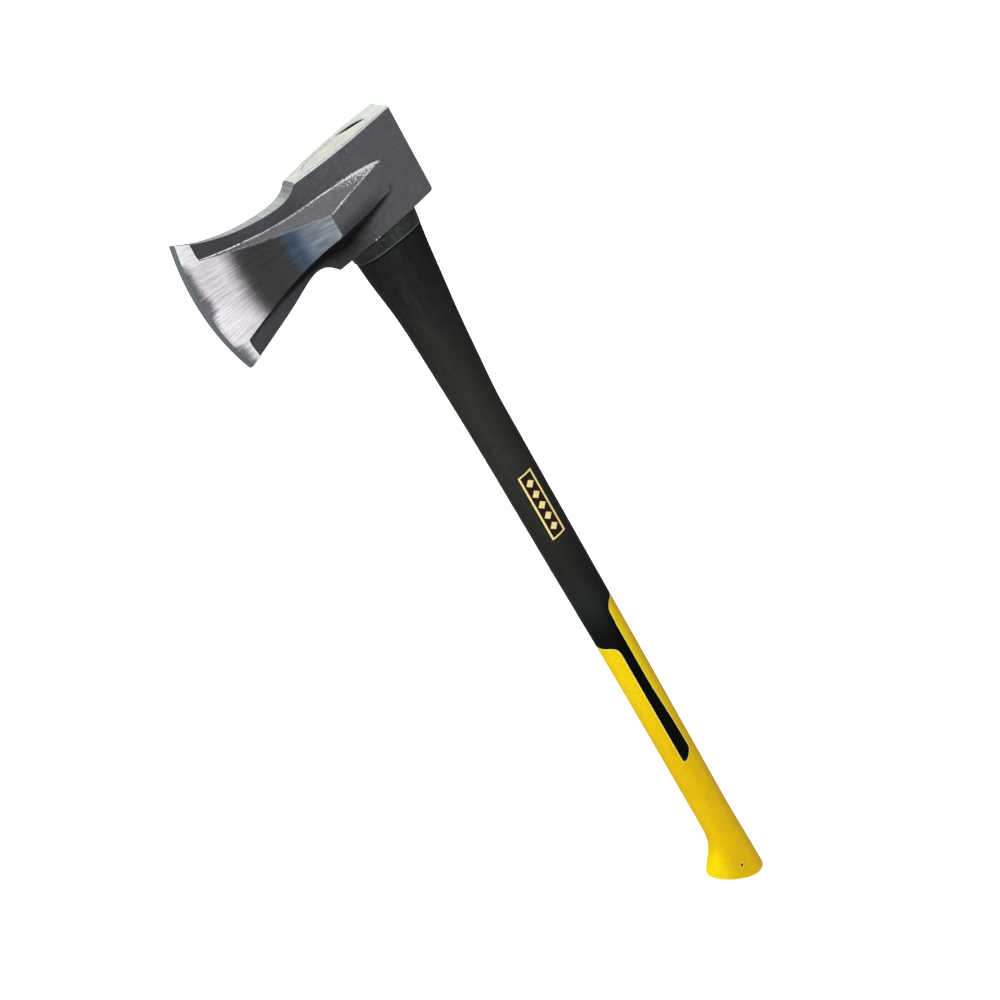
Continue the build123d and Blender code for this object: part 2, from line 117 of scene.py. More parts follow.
class Graph:
    def __init__(self, name):
        self.mat = bpy.data.materials.new(name)
        self.mat.use_nodes = True
        self.nt = self.mat.node_tree
        self.nt.nodes.clear()
        out = self.nt.nodes.new("ShaderNodeOutputMaterial")
        self.bsdf = self.nt.nodes.new("ShaderNodeBsdfPrincipled")
        self.nt.links.new(self.bsdf.outputs[0], out.inputs[0])
        tc = self.nt.nodes.new("ShaderNodeTexCoord")
        sep = self.nt.nodes.new("ShaderNodeSeparateXYZ")
        self.nt.links.new(tc.outputs["Object"], sep.inputs[0])
        self.x = S(self, sep.outputs[0]) * 1000.0 + SHIFT_X
        self.y = S(self, sep.outputs[1]) * 1000.0
        self.z = S(self, sep.outputs[2]) * 1000.0 + SHIFT_Z
        self.p = self.vec(self.x, self.y, self.z)
        geo = self.nt.nodes.new("ShaderNodeNewGeometry")
        sn = self.nt.nodes.new("ShaderNodeSeparateXYZ")
        self.nt.links.new(geo.outputs["Normal"], sn.inputs[0])
        self.nx, self.ny, self.nz = (S(self, sn.outputs[i]) for i in range(3))

    def put(self, v, socket):
        if isinstance(v, S):
            self.nt.links.new(v.s, socket)
        else:
            socket.default_value = v

    def math(self, op, a, b=None, c=None, clamp=False):
        n = self.nt.nodes.new("ShaderNodeMath")
        n.operation, n.use_clamp = op, clamp
        for i, v in enumerate((a, b, c)):
            if v is not None:
                self.put(v, n.inputs[i])
        return S(self, n.outputs[0])

    def abs(self, a): return self.math("ABSOLUTE", a)
    def max(self, a, b): return self.math("MAXIMUM", a, b)
    def min(self, a, b): return self.math("MINIMUM", a, b)
    def clip(self, a): return self.math("ADD", a, 0.0, clamp=True)

    def vec(self, x, y, z):
        n = self.nt.nodes.new("ShaderNodeCombineXYZ")
        for i, v in enumerate((x, y, z)):
            self.put(v, n.inputs[i])
        return S(self, n.outputs[0])

    def noise(self, p, scale=1.0, detail=3.0, rough=0.5, distortion=0.0):
        n = self.nt.nodes.new("ShaderNodeTexNoise")
        self.put(p, n.inputs["Vector"])
        self.put(scale, n.inputs["Scale"])
        n.inputs["Detail"].default_value = detail
        n.inputs["Roughness"].default_value = rough
        n.inputs["Distortion"].default_value = distortion
        return S(self, n.outputs[0])

    def cells(self, p, scale=1.0, feature="F1", out="Distance"):
        n = self.nt.nodes.new("ShaderNodeTexVoronoi")
        n.feature = feature
        self.put(p, n.inputs["Vector"])
        self.put(scale, n.inputs["Scale"])
        return S(self, n.outputs[out])

    def step(self, v, lo, hi, a=0.0, b=1.0):
        """a below lo, b above hi, and a smooth step between. lo may be above hi."""
        n = self.nt.nodes.new("ShaderNodeMapRange")
        n.interpolation_type = "SMOOTHSTEP"
        if lo > hi:
            lo, hi, a, b = hi, lo, b, a
        self.put(v, n.inputs[0])
        for i, w in enumerate((lo, hi, a, b)):
            n.inputs[i + 1].default_value = w
        return S(self, n.outputs[0])

    def mix(self, f, a, b):
        n = self.nt.nodes.new("ShaderNodeMix")
        n.data_type = "RGBA"
        self.put(f, n.inputs[0])
        self.put(a, n.inputs[6])
        self.put(b, n.inputs[7])
        return S(self, n.outputs[2])

    def mix_number(self, f, a, b):
        n = self.nt.nodes.new("ShaderNodeMix")
        n.data_type = "FLOAT"
        for i, v in enumerate((f, a, b)):
            self.put(v, n.inputs[(0, 2, 3)[i]])
        return S(self, n.outputs[0])

    def tint(self, colour, gain):
        """colour times a grey number."""
        n = self.nt.nodes.new("ShaderNodeVectorMath")
        n.operation = "SCALE"
        self.put(colour, n.inputs[0]) if isinstance(colour, S) else setattr(n.inputs[0], "default_value", colour[:3])
        self.put(gain, n.inputs["Scale"])
        return S(self, n.outputs[0])

    def ramp(self, v, low, high, stops):
        """Colours at places along low..high; each stop is (place, colour)."""
        n = self.nt.nodes.new("ShaderNodeValToRGB")
        self.put((v - low) * (1.0 / (high - low)), n.inputs[0])
        e = n.color_ramp.elements
        while len(e) > 1:
            e.remove(e[-1])
        for i, (place, colour) in enumerate(stops):
            k = e[0] if i == 0 else e.new((place - low) / (high - low))
            k.position = (place - low) / (high - low)
            k.color = colour
        return S(self, n.outputs[0])

    def table(self, v, points):
        """A number looked up in a table, with a smooth curve through it."""
        xs, ys = zip(*points)
        lo, hi, ylo, yhi = xs[0], xs[-1], min(ys), max(ys)
        n = self.nt.nodes.new("ShaderNodeFloatCurve")
        self.put((v - lo) * (1.0 / (hi - lo)), n.inputs["Value"])
        c = n.mapping.curves[0]
        for i, (x, y) in enumerate(points):
            at_ = ((x - lo) / (hi - lo), (y - ylo) / (yhi - ylo))
            if i < 2:
                c.points[i].location = at_
            else:
                c.points.new(*at_)
        n.mapping.update()
        return S(self, n.outputs[0]) * (yhi - ylo) + ylo

    def near_edge(self, mm):
        """1 within about mm millimetres of a sharp edge, 0 elsewhere."""
        b = self.nt.nodes.new("ShaderNodeBevel")
        b.samples = 6
        b.inputs["Radius"].default_value = mm / 1000.0
        geo = self.nt.nodes.new("ShaderNodeNewGeometry")
        d = self.nt.nodes.new("ShaderNodeVectorMath")
        d.operation = "DOT_PRODUCT"
        self.nt.links.new(b.outputs[0], d.inputs[0])
        self.nt.links.new(geo.outputs["Normal"], d.inputs[1])
        return self.step(S(self, d.outputs["Value"]), 0.997, 0.96)

    def bump(self, height, mm, strength=1.0, under=None):
        """Height in units of mm millimetres."""
        n = self.nt.nodes.new("ShaderNodeBump")
        n.inputs["Strength"].default_value = strength
        n.inputs["Distance"].default_value = mm / 1000.0
        self.put(height, n.inputs["Height"])
        if under is not None:
            self.put(under, n.inputs["Normal"])
        return S(self, n.outputs[0])

    def done(self, colour, rough, metal=0.0, normal=None, spec=0.5):
        b = self.bsdf.inputs
        self.put(colour, b["Base Color"])
        self.put(rough, b["Roughness"])
        self.put(metal, b["Metallic"])
        self.put(spec, b["Specular IOR Level"])
        if normal is not None:
            self.put(normal, b["Normal"])
        return self.mat


def wing_lines(g):
    """Height above the wing's centre line, and signed distances from its foot and ridge, in mm."""
    v = g.z - WING_Z
    a = g.abs(v)
    return v, a - g.table(g.x, FOOT), a - g.table(g.x, RIDGE)


def radius(g):
    dx, dz = g.x - EDGE_C[0], g.z - EDGE_C[1]
    return g.math("SQRT", dx * dx + dz * dz)


# ------------------------------------------------------------------ head materials
def paint(name, base):
    g = Graph(name)
    mott = g.noise(g.p, 0.09, 4, 0.6)
    mid = g.noise(g.vec(g.x * 0.8, g.y, g.z * 1.1), 0.30, 4, 0.75)
    fine = g.noise(g.p, 0.9, 3, 0.6)
    grain = g.noise(g.p, 3.5, 2, 0.5)
    v, foot, ridge = wing_lines(g)
    colour = g.tint(lin(*base), 0.24 + 0.34 * mott + 0.66 * mid + 0.36 * fine + 0.18 * grain)
    rub = g.step(g.noise(g.vec(g.x * 0.9, g.y, g.z * 0.6), 0.45, 2, 0.5), 0.34, 0.66) - 0.5
    colour = g.tint(colour, 1.0 + (mid - 0.5 + 0.10 * rub) * g.step(g.x, 24.0, -6.0))
    # blue-black film towards the blade and neck, where the coat lies thicker
    cool = g.step(g.x, -20.0, -62.0)
    colour = g.mix(cool * 0.75, colour, g.tint(lin(base[0] - 14, base[1] - 13, base[2] - 9), 0.4 + 0.3 * mott + 0.56 * mid + 0.34 * fine))
    colour = g.tint(colour, g.step(g.x, -112.0, -78.0, 0.74, 1.0))
    colour = g.tint(colour, 1.0 - 0.16 * g.step(g.x, -70.0, -96.0) * g.step(g.z, 905.0, 915.0))
    # painted shadow of the wing on the cheek below it, darkest close to the wing
    below = g.table(g.x, HOLLOW) - g.z
    reach = g.table(g.x, [(-144.0, 3.0), (-100.0, 3.2), (-70.0, 4.5), (-48.0, 9.0), (-32.0, 13.0), (-18.0, 10.0), (-8.0, 6.6),
                          (2.0, 5.4), (12.0, 3.6), (20.0, 2.4), (30.0, 2.0)])
    soft = g.clip(1.0 - below / reach)
    wing_shadow = soft * soft * (3.0 - 2.0 * soft) * g.step(v, -3.0, -12.0) * g.step(g.x, 21.0, 16.5)
    wing_shadow = wing_shadow * g.step(v, -11.0, -14.6) + wing_shadow * g.step(g.x, 12.0, 4.0) * g.step(v, -14.6, -11.0)
    wing_shadow = wing_shadow * g.step(g.x, -130.0, -70.0, 0.45, 1.0)
    # painted shade over the lower neck, under the wing
    neck = g.step(g.x, 4.0, -30.0) * g.step(g.z, 868.0, 848.0) * g.step(g.x, -130.0, -50.0, 0.2, 1.0)
    # a thin painted shadow line right under the lower ridge
    thin = g.clip(1.0 - below / 3.2) * g.step(v, -9.0, -12.0) * g.step(g.x, 23.0, 17.0) * g.step(g.x, -130.0, -70.0, 0.4, 1.0)
    shade = g.clip((1.0 - 0.50 * wing_shadow) * (1.0 - 0.70 * thin) * (1.0 - 0.60 * neck))
    colour = g.tint(colour, shade)
    # bare steel showing where the wing's rear tip meets the cheek, in fine specks
    along = g.step(g.x, -46.0, 8.0) * g.step(g.x, 27.0, 17.0)
    near = g.step(g.abs(foot - 0.3), 2.6, 0.2) * g.step(v, 0.0, 3.0)
    speck = g.noise(g.vec(g.x * 0.9, g.y * 0.9, g.z * 1.5), 0.95, 4, 0.75)
    bare = g.step(speck + 0.42 * along * near, 0.75, 0.82)
    line = g.step(g.abs(foot - 0.1), 0.35, 0.1) * g.step(v, 0.0, 3.0) * g.step(g.x, 18.0, 10.0)
    line = line * g.step(g.noise(g.p, 0.5, 3, 0.7), 0.36, 0.46)
    lone = g.step(g.x, -11.9, -11.3) * g.step(g.x, -10.0, -10.5) + 0.7 * g.step(g.x, -8.5, -8.0) * g.step(g.x, -7.2, -7.6)
    lone = lone * g.step(g.z, 839.4, 838.7) * g.step(g.y, 0.0, -1.0)
    bare = g.clip(bare + line + lone)
    colour = g.mix(bare, colour, lin(238, 237, 245))
    normal = g.bump(0.6 * fine + 0.4 * grain, 0.05, 0.65)
    normal = g.bump(mott, 0.5, 0.25, normal)
    # the painted wing shadow also dims the specular
    return g.done(colour, g.clip(0.50 + 0.14 * fine - 0.10 * bare), bare * 0.3, normal, spec=0.34 * (1.0 - 0.8 * wing_shadow))


def flank(name):
    g = Graph(name)
    v, foot, ridge = wing_lines(g)
    upper = g.step(v, -1.0, 1.0)
    mott = g.noise(g.p, 0.12, 4, 0.6)
    fine = g.noise(g.p, 1.1, 3, 0.6)
    streak = g.noise(g.vec(g.x * 0.06, g.y * 0.5, g.z * 1.1), 1.0, 4, 0.65)
    blotch = g.step(g.noise(g.vec(g.x * 0.5, g.y, g.z), 0.40, 2, 0.5), 0.34, 0.66)
    # painted light and shade: the upper flank faces up into the light and gets a lighter copy of the paint, the lower
    # flank faces down and gets a darker, shaded copy
    top = g.tint(lin(108, 107, 114), 0.54 + 0.34 * mott + 0.26 * fine + 0.24 * streak + 0.10 * blotch)
    low = g.tint(lin(58, 57, 63), 0.86 + 0.2 * mott + 0.08 * fine)
    colour = g.mix(upper, low, top)
    along = g.step(g.x, -36.0, 6.0)
    near = g.step(g.abs(foot), 7.0, 1.0) * upper
    speck = g.noise(g.vec(g.x * 0.55, g.y, g.z * 1.3), 1.25, 3, 0.7)
    bare = g.step(speck + 0.155 * along * near + 0.05 * near, 0.69, 0.75)
    broken = g.noise(g.p, 0.5, 3, 0.7)
    strong = g.table(g.x, [(-146.0, 1.0), (-96.0, 1.0), (-84.0, 0.55), (-50.0, 0.50), (-38.0, 0.9), (21.0, 1.0)])
    edge = g.step(g.abs(foot + 0.10), 0.42, 0.20) * upper
    edge = edge * g.step(broken, 0.40, 0.52) * strong
    # the ridge itself, rubbed bright: a thin line along the ground face, and a speckled one down to the tail
    crest = g.step(ridge, 0.50, 0.20) * upper * g.step(broken, 0.42, 0.54)
    crest = crest * g.table(g.x, [(-146.0, 0.9), (-100.0, 0.9), (-84.0, 0.22), (-46.0, 0.25), (-40.0, 0.9), (14.0, 0.9), (21.0, 0.0)])
    colour = g.tint(colour, g.step(g.x, -110.0, -84.0, 0.74, 1.0))
    bare = g.clip((bare * g.step(g.x, -100.0, -60.0, 0.4, 1.0) + edge + crest) * g.step(g.x, 21.0, 13.0))
    colour = g.mix(g.step(g.x, 8.0, 18.0), colour, g.tint(lin(82, 81, 87), 0.8 + 0.4 * fine))
    colour = g.mix(bare, colour, lin(252, 250, 255))
    normal = g.bump(0.6 * fine + 0.4 * streak, 0.06, 0.6)
    return g.done(colour, g.clip(0.46 + 0.14 * fine - 0.08 * bare), bare * 0.3, normal, spec=0.42)


def rear(name):
    g = Graph(name)
    v, foot, ridge = wing_lines(g)
    mott = g.noise(g.p, 0.11, 4, 0.6)
    fine = g.noise(g.p, 1.0, 3, 0.6)
    # painted shade: the rear slope darkens towards its lower edge; towards the tail it takes on the cheek's tone
    colour = g.mix(g.step(g.z + 0.087 * (g.x + 40.0), 867.0, 881.0), lin(50, 50, 57), lin(95, 93, 99))
    colour = g.mix(g.step(g.x, -8.0, 19.0), colour, lin(91, 90, 96))
    mid = g.noise(g.p, 0.40, 4, 0.7)
    colour = g.tint(colour, 0.34 + 0.34 * mott + 0.60 * mid + 0.38 * fine)
    near = g.step(g.abs(g.abs(v) - 9.2), 2.6, 0.1) * g.step(v, 0.0, 3.0)
    tip = g.step(g.x, -6.0, 18.0)
    speck = g.noise(g.p, 1.0, 4, 0.78)
    bare = g.step(speck + 0.30 * near + 0.1 * near * tip, 0.80, 0.88) * g.step(g.x, 20.0, 12.0)
    crest = g.step(ridge, -0.80, -0.40) * g.step(v, 0.0, 3.0) * g.step(g.noise(g.p, 0.5, 3, 0.7), 0.46, 0.56) * g.step(g.x, 21.0, 15.0)
    bare = g.clip(bare + crest)
    colour = g.mix(bare, colour, lin(240, 238, 244))
    normal = g.bump(0.6 * fine + 0.4 * mott, 0.06, 0.5)
    return g.done(colour, g.clip(0.48 + 0.12 * fine - 0.08 * bare), bare * 0.3, normal, spec=0.4)


def polished(name):
    """Wing and edge faces ground on a belt along X. The white, dark and blue bands across them are partly temper
    colours and partly painted reflections of the surroundings.
    """
    g = Graph(name)
    r = radius(g)
    turn = (g.z - EDGE_C[1]) / r * 200.0
    brush = g.noise(g.vec(r * 0.028, 0.0, turn * 0.50), 1.0, 4, 0.72)
    hair = g.noise(g.vec(r * 0.07, 5.0, turn * 1.25), 1.0, 3, 0.75)
    broad = g.noise(g.vec(g.x * 0.05, g.y * 0.05, g.z * 0.16), 1.0, 3, 0.6)
    jag = g.noise(g.vec(r * 0.14, 0.0, turn * 0.9), 1.0, 5, 0.75)
    rr = r + (jag - 0.5) * 9.0 + (broad - 0.5) * 4.0 + (hair - 0.5) * 6.0
    # bands across the ground face, white at the edge, dark in the middle and blue towards the peak: partly the steel's
    # temper colours, partly painted reflections of the surroundings
    colour = g.ramp(rr, 90.0, 210.0, [
        (92.0, lin(144, 152, 157)), (104.0, lin(133, 142, 149)), (116.5, lin(120, 131, 141)), (120.5, lin(92, 108, 126)),
        (125.0, lin(63, 83, 106)), (130.5, lin(63, 78, 96)), (134.5, lin(60, 61, 63)), (150.0, lin(57, 57, 57)),
        (162.0, lin(61, 61, 61)), (166.5, lin(80, 79, 81)), (170.0, lin(130, 127, 132)), (174.0, lin(190, 186, 192)),
        (179.0, lin(228, 224, 230)), (192.0, lin(240, 236, 241)), (204.0, lin(245, 242, 245)),
    ])
    # the painted white zone is greyer behind the middle of the edge and brightest towards both ends
    white_level = g.table(g.z, [(820.0, 1.00), (850.0, 1.05), (866.0, 1.10), (876.0, 1.04), (885.0, 0.90), (902.0, 0.86), (911.0, 0.92),
                          (919.0, 1.09), (937.0, 1.11)])
    colour = g.tint(colour, g.mix_number(g.step(rr, 176.0, 192.0), 1.0, white_level))
    # a dark smear just behind the bevel, in the middle of the edge, and another by the heel
    wide = g.table(g.z, [(818.0, 3.0), (826.0, 3.6), (834.0, 5.0), (840.0, 5.2), (844.0, 0.9), (852.0, 0.6), (862.0, 1.0), (869.0, 1.8), (873.0, 3.6),
                         (877.0, 6.4), (883.0, 6.4), (889.0, 5.0), (897.0, 4.6), (905.0, 3.8), (911.0, 3.0), (916.0, 1.2),
                         (922.0, 0.0), (938.0, 0.0)])
    patch = g.noise(g.vec(g.x * 0.08, g.y * 0.1, g.z * 0.22), 1.0, 3, 0.6)
    fringe = g.noise(g.vec(r * 0.05, 11.0, turn * 0.75), 1.0, 4, 0.8)
    depth = r + wide + (jag - 0.5) * 7.0 + (fringe - 0.5) * 12.0 + (patch - 0.5) * 3.0
    smear = g.step(depth, 199.6, 206.6) * g.step(wide, 0.0, 1.2)
    colour = g.mix(smear * 0.86, colour, g.mix(g.step(g.z, 850.0, 842.0), lin(66, 60, 67), lin(74, 79, 83)))
    coarse = g.step(g.noise(g.vec(r * 0.025, 13.0, turn * 0.42), 1.0, 2, 0.45), 0.34, 0.66)
    close = g.step(g.noise(g.vec(r * 0.05, 17.0, turn * 0.95), 1.0, 2, 0.45), 0.34, 0.66)
    spot = g.step(g.noise(g.p, 0.8, 2, 0.5), 0.36, 0.64)
    colour = g.tint(colour, 0.37 + 0.40 * brush + 0.28 * hair + 0.20 * coarse + 0.22 * close + 0.10 * spot)
    grain = g.step(g.noise(g.vec(g.x * 0.06, g.y * 0.05, g.z * 0.55), 1.0, 3, 0.5), 0.34, 0.66)
    colour = g.tint(colour, g.mix_number(g.step(rr, 122.0, 112.0), 1.0, 0.76 + 0.48 * grain))
    scratch = g.step(g.noise(g.vec(r * 0.012, 3.0, turn * 0.9), 1.0, 2, 0.5), 0.66, 0.72)
    colour = g.mix(scratch * 0.45, colour, g.mix(g.step(rr, 160.0, 175.0), lin(96, 96, 99), lin(255, 253, 255)))
    # the ridge side of the ground face catches the light
    v, foot, ridge = wing_lines(g)
    lip = g.step(ridge, -1.0, -0.5) * g.step(v, 0.0, 3.0) * g.step(g.x, -130.0, -70.0, 0.3, 1.0) * g.step(hair, 0.42, 0.56)
    colour = g.mix(lip * 0.40, colour, lin(196, 201, 208))
    rough = g.clip(0.30 + 0.14 * hair + 0.05 * brush)
    normal = g.bump(0.6 * hair + 0.4 * brush, 0.05, 0.5)
    return g.done(colour, rough, g.step(rr, 163.0, 174.0, 0.62, 0.36), normal, spec=0.5)


def bevel_strip(name):
    g = Graph(name)
    hair = g.noise(g.vec(g.x * 0.9, g.y * 2.0, g.z * 2.4), 1.0, 4, 0.7)
    broad = g.noise(g.p, 0.2, 3, 0.6)
    fade = g.table(g.z, [(815.0, 0.76), (835.0, 0.82), (850.0, 0.90), (864.0, 0.96), (880.0, 1.00), (900.0, 1.04), (921.0, 1.12), (937.0, 1.22)])
    side = g.abs(radius(g) - (EDGE_R - BEVEL / 2))
    fade = fade * (1.06 - 0.30 * g.step(side, 0.9, 1.7))
    colour = g.tint(lin(108, 116, 123), fade * (0.74 + 0.30 * hair + 0.24 * broad))
    return g.done(colour, g.clip(0.34 + 0.12 * hair), 0.55, g.bump(hair, 0.03, 0.5), spec=0.5)


def ground_flat(name, base, along_x):
    """Machined top of the head, and the curved top of the neck and blade, with marks across it."""
    g = Graph(name)
    if along_x:
        marks = g.noise(g.vec(g.x * 0.06, g.y * 0.75, g.z), 1.0, 5, 0.75)
        broad = g.noise(g.p, 0.09, 3, 0.6)
    else:
        marks = g.noise(g.vec(g.x * 0.5, g.y * 0.10, g.z * 0.5), 1.0, 5, 0.8)
        broad = g.noise(g.vec(g.x * 0.3, g.y * 0.03, g.z * 0.3), 1.0, 3, 0.6)
    fine = g.noise(g.p, 1.6, 3, 0.6)
    if along_x:
        line = g.step(g.noise(g.vec(g.x * 0.035, g.y * 0.8, 6.0), 1.0, 2, 0.45), 0.34, 0.66)
        colour = g.tint(lin(*base), 0.30 + 0.46 * marks + 0.42 * broad + 0.36 * fine + 0.16 * line)
        # the burr's shadow beside the rim
        inset = g.table(g.x, [(x, h) for x, h in CHEEK if x >= NECK_X]) - g.abs(g.y)
        burr = g.step(inset, 0.70, 1.0) * g.step(inset, 2.1, 1.6) * g.step(g.x, -42.0, -36.0) * g.step(g.x, 44.0, 32.0)
        colour = g.mix(burr * g.step(g.noise(g.p, 0.25, 3, 0.6), 0.34, 0.5) * 0.85, colour, lin(88, 92, 88))
    else:
        colour = g.tint(lin(*base), 0.08 + 1.24 * marks + 0.32 * broad + 0.16 * fine)
        cut = g.step(g.noise(g.vec(g.x * 0.75, 0.0, g.z * 0.75), 1.0, 2, 0.5), 0.56, 0.64)
        colour = g.mix(cut * 0.42, colour, lin(70, 74, 74))
        cross = g.step(g.noise(g.vec(g.x * 0.42, 4.0, g.z * 0.42), 1.0, 2, 0.45), 0.36, 0.64)
        colour = g.tint(colour, 0.90 + 0.26 * cross)
    return g.done(colour, g.clip(0.42 + 0.14 * marks), 0.35, g.bump(0.7 * marks + 0.3 * fine, 0.04, 0.6), spec=0.45)


def bare_edge(name, bright=(222, 222, 228), chip_level=0.42, under=(96, 95, 101), along=None):
    """An edge where the paint has rubbed off in places, more or less so along X."""
    g = Graph(name)
    chip = g.noise(g.p, 0.7, 4, 0.75)
    fine = g.noise(g.p, 2.2, 3, 0.6)
    bare = g.step(chip, chip_level - 0.05, chip_level + 0.05)
    if along:
        bare = bare * g.table(g.x, along)
    colour = g.mix(bare, g.tint(lin(*under), 0.8 + 0.4 * fine), g.tint(lin(*bright), 0.85 + 0.25 * fine))
    return g.done(colour, g.clip(0.36 + 0.15 * fine), bare * 0.25, g.bump(fine, 0.04, 0.5), spec=0.5)


def eye_wall(name):
    g = Graph(name)
    fine = g.noise(g.p, 0.8, 4, 0.65)
    # painted shade: below the top millimetre the wall is near black, standing for the dark gap between resin and eye
    colour = g.tint(lin(34, 33, 33), 0.7 + 0.6 * fine)
    colour = g.mix(g.step(g.z, 912.9, 913.15), colour, g.tint(lin(226, 230, 220), 0.8 + 0.4 * fine))
    return g.done(colour, 0.7, 0.0, g.bump(fine, 0.1, 0.6), spec=0.3)


# ------------------------------------------------------------------ handle materials
def jacket_material():
    g = Graph("jacket_plastic")
    broad = g.noise(g.vec(g.x * 0.05, g.y * 0.05, g.z * 0.013), 1.0, 4, 0.6)
    patch = g.noise(g.vec(g.x * 0.16, g.y * 0.16, g.z * 0.10), 1.0, 5, 0.75)
    grain = g.cells(g.p, 1.5)
    fine = g.noise(g.p, 2.4, 3, 0.6)
    drag = g.noise(g.vec(g.x * 0.6, g.y * 0.6, g.z * 0.03), 1.0, 3, 0.6)
    # painted light and shade on the shaft: a painted sheen on its front and middle, darker towards the back, deep black
    # between the grips
    up = g.table(g.z, [(200.0, 0.26), (350.0, 0.26), (385.0, 0.34), (410.0, 0.52), (440.0, 0.72), (480.0, 0.76), (560.0, 0.95),
                       (620.0, 1.12), (660.0, 1.12), (700.0, 1.06), (740.0, 0.95), (770.0, 0.86), (800.0, 0.76), (840.0, 0.78)])
    over = g.table(g.x, [(-30.0, 0.80), (-22.0, 0.92), (-15.0, 1.12), (-10.0, 1.26), (-3.0, 1.18), (3.0, 1.08), (9.0, 0.94),
                         (15.0, 0.84), (25.0, 0.64), (34.0, 0.60)])
    gain = g.max(1.34 * up * over - 0.34 - 0.20 * g.step(g.x, -4.0, 5.0) * g.step(g.z, 500.0, 440.0), 0.04)
    colour = g.tint(lin(39, 40, 36), gain * (0.27 + 0.44 * broad + 0.54 * patch + 0.22 * fine + 0.10 * drag + 0.11 * g.step(g.noise(g.p, 0.32, 2, 0.5), 0.34, 0.66)))
    colour = g.mix(g.step(g.z, 470.0, 420.0) * 0.8, colour, g.mix(0.5, colour, g.tint(lin(22, 34, 35), gain * 2.0)))
    lip = (825.0 - 0.0606 * g.x) - g.z
    neck = g.step(g.z, 690.0, 800.0)
    streak = g.step(g.noise(g.vec(g.x * 0.30, g.y * 0.30, g.z * 0.07), 1.0, 2, 0.5), 0.34, 0.66)
    colour = g.tint(colour, 1.0 + neck * (0.46 * (streak - 0.45) + 0.35 * g.step(g.x, 4.0, 20.0)))
    colour = g.mix(neck * 0.7, colour, g.mix(0.35, colour, g.tint(lin(38, 42, 42), gain)))
    # painted shadow: a dark line on the jacket just under the collar's lip
    colour = g.tint(colour, g.clip(0.12 + g.step(lip, 0.2, 2.8)))
    normal = g.bump(grain, 0.10, 0.45)
    normal = g.bump(fine, 0.04, 0.4, normal)
    spec = g.step(g.z, 385.0, 440.0, 0.04, 0.08)
    return g.done(colour, g.clip(0.60 + 0.14 * fine + 0.08 * broad), 0.0, normal, spec=spec)


def collar_material():
    g = Graph("collar_plastic")
    fine = g.noise(g.p, 1.6, 3, 0.6)
    broad = g.noise(g.p, 0.08, 3, 0.6)
    lip = g.z - (825.0 - 0.0606 * g.x)
    # painted light and shade across the collar: lightest at the front middle, darker towards both ends as they turn
    # from the lamps
    over = g.table(g.x, [(-33.0, 0.16), (-28.0, 0.19), (-24.0, 0.30), (-16.0, 0.48), (-5.0, 0.58), (6.0, 0.82), (14.0, 0.68),
                         (20.0, 0.54), (28.0, 0.38), (36.0, 0.33)])
    mottle = g.step(g.noise(g.p, 0.34, 2, 0.5), 0.34, 0.66)
    # painted shadow along the top of the collar, right under the head
    under = g.step(g.z, 838.4, 835.4, 0.30, 1.0)
    colour = g.tint(lin(50, 56, 54), over * under * (0.62 + 0.4 * broad + 0.36 * fine) * (0.62 + 0.72 * mottle))
    # painted highlight along the rounded lower lip
    shine = g.step(lip, 1.5, 0.5) * g.step(lip, 0.1, 0.35) * g.step(g.x, -34.0, -8.0, 0.1, 1.0) * g.step(g.x, 31.0, 26.0)
    colour = g.mix(shine * 0.8, colour, lin(122, 128, 124))
    return g.done(colour, g.clip(0.50 + 0.16 * fine), 0.0, g.bump(fine, 0.05, 0.45), spec=0.25)


def grip_material():
    g = Graph("grip_rubber")
    broad = g.noise(g.vec(g.x * 0.08, g.y * 0.08, g.z * 0.03), 1.0, 3, 0.6)
    grain = g.cells(g.p, 1.35)
    fine = g.noise(g.p, 1.3, 4, 0.65)
    pores = g.noise(g.p, 0.5, 4, 0.7)
    dx, dz = g.x + 8.0, g.z - 31.0
    near = g.math("SQRT", dx * dx + dz * dz)
    base = g.mix(g.step(g.z, 190.0, 360.0), lin(236, 193, 1), lin(247, 214, 3))
    base = g.mix(g.step(g.x, -12.0, -32.0) * g.step(g.z, 95.0, 60.0), base, lin(250, 222, 3))
    colour = g.tint(base, 0.68 + 0.16 * broad + 0.14 * fine + 0.26 * pores + 0.07 * g.step(g.noise(g.p, 0.35, 2, 0.5), 0.34, 0.66))
    # painted shade: a little greyer towards the back of the handle, the side away from the lamps
    colour = g.mix(g.step(g.x, 4.0, 16.0) * 0.9, colour, g.tint(lin(232, 187, 38), 0.90 + 0.20 * fine))
    # painted highlight along the rounded lips where the grip meets the jacket, as a paler yellow line
    colour = g.mix(g.near_edge(1.9) * 0.9, colour, lin(255, 242, 140))
    # painted highlight in a ring round the small hole, on the side facing -Y
    ring = g.step(near, 3.1, 2.5) * g.step(g.ny, 0.0, -0.5)
    colour = g.mix(ring * 0.60, colour, lin(254, 234, 124))
    # painted shade: the inside of the hole near black
    inside = g.step(near, 1.95, 1.60) * g.step(g.y, 0.0, -4.0)
    colour = g.mix(inside, colour, lin(16, 9, 4))
    normal = g.bump(grain, 0.12, 0.40)
    normal = g.bump(fine, 0.06, 0.4, normal)
    return g.done(colour, g.clip(0.58 + 0.12 * fine), 0.0, normal, spec=0.06)


